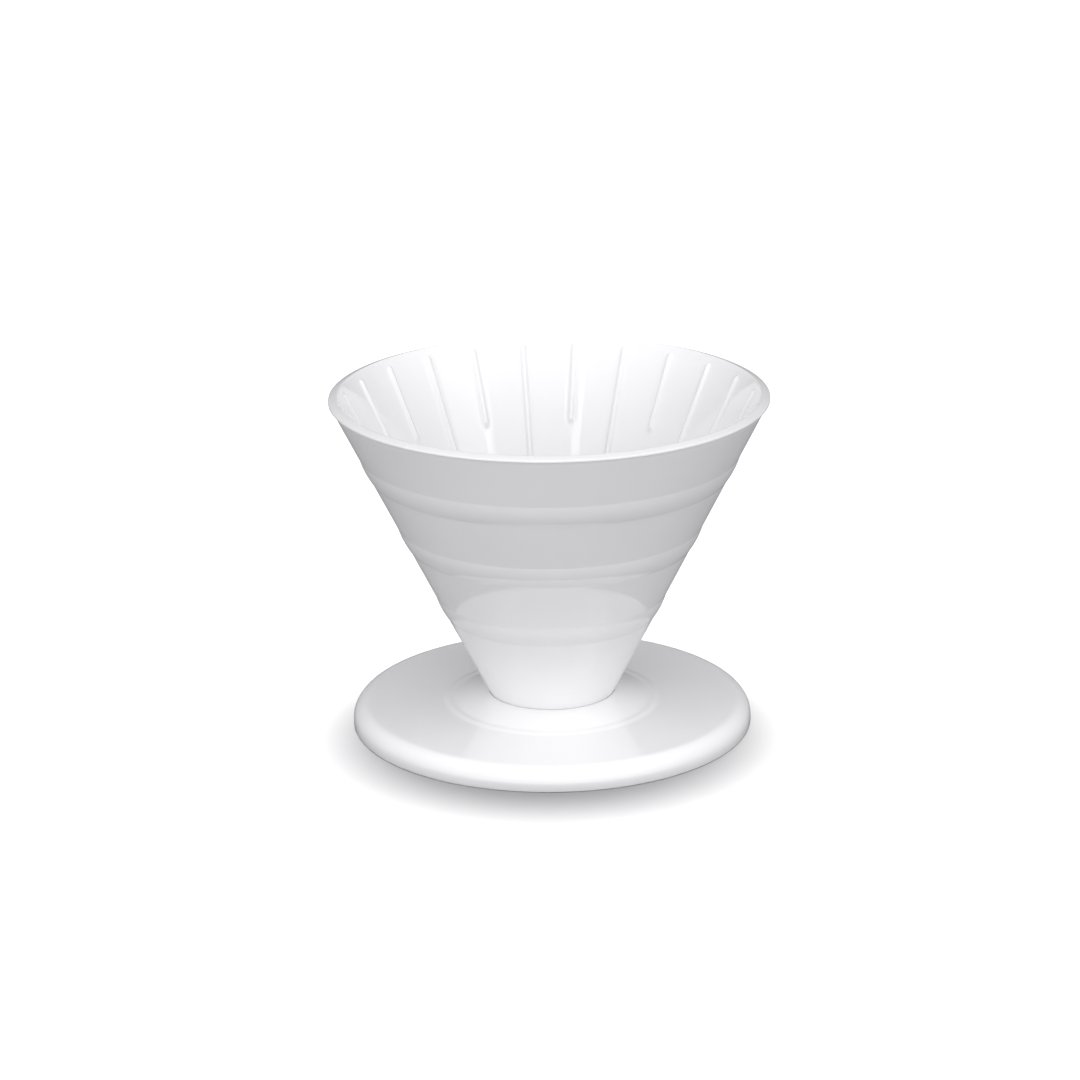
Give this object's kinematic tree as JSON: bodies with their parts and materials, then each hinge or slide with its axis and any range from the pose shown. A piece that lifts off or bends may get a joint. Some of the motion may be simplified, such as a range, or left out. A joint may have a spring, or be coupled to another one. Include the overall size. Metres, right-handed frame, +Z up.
{
  "type": "pour over dripper",
  "caption": "White pour-over coffee dripper: a ribbed, banded filter cone twist-locked into the hub of a wide round base plate that rests on a mug.",
  "frame": {"origin": "centre of the dripper, at the level of the table it stands on", "axes": "+Z up along the axis of the cone, -Y towards the front, +X to the right as seen from the front"},
  "size_m": [0.116, 0.116, 0.0913],
  "materials": {
    "white_plastic": "gloss",
    "silicone": "satin"
  },
  "bodies": {
    "base": {"base_plate": "white_plastic"},
    "cone": {"filter_cone": "white_plastic", "seal_ring": "silicone"}
  },
  "joints": [
    {"name": "cone_twist", "type": "hinge", "parent": "base", "child": "cone", "pos_m": [0, 0, 0.0037], "axis": [0, 0, 1], "range_deg": [0, 40]}
  ]
}
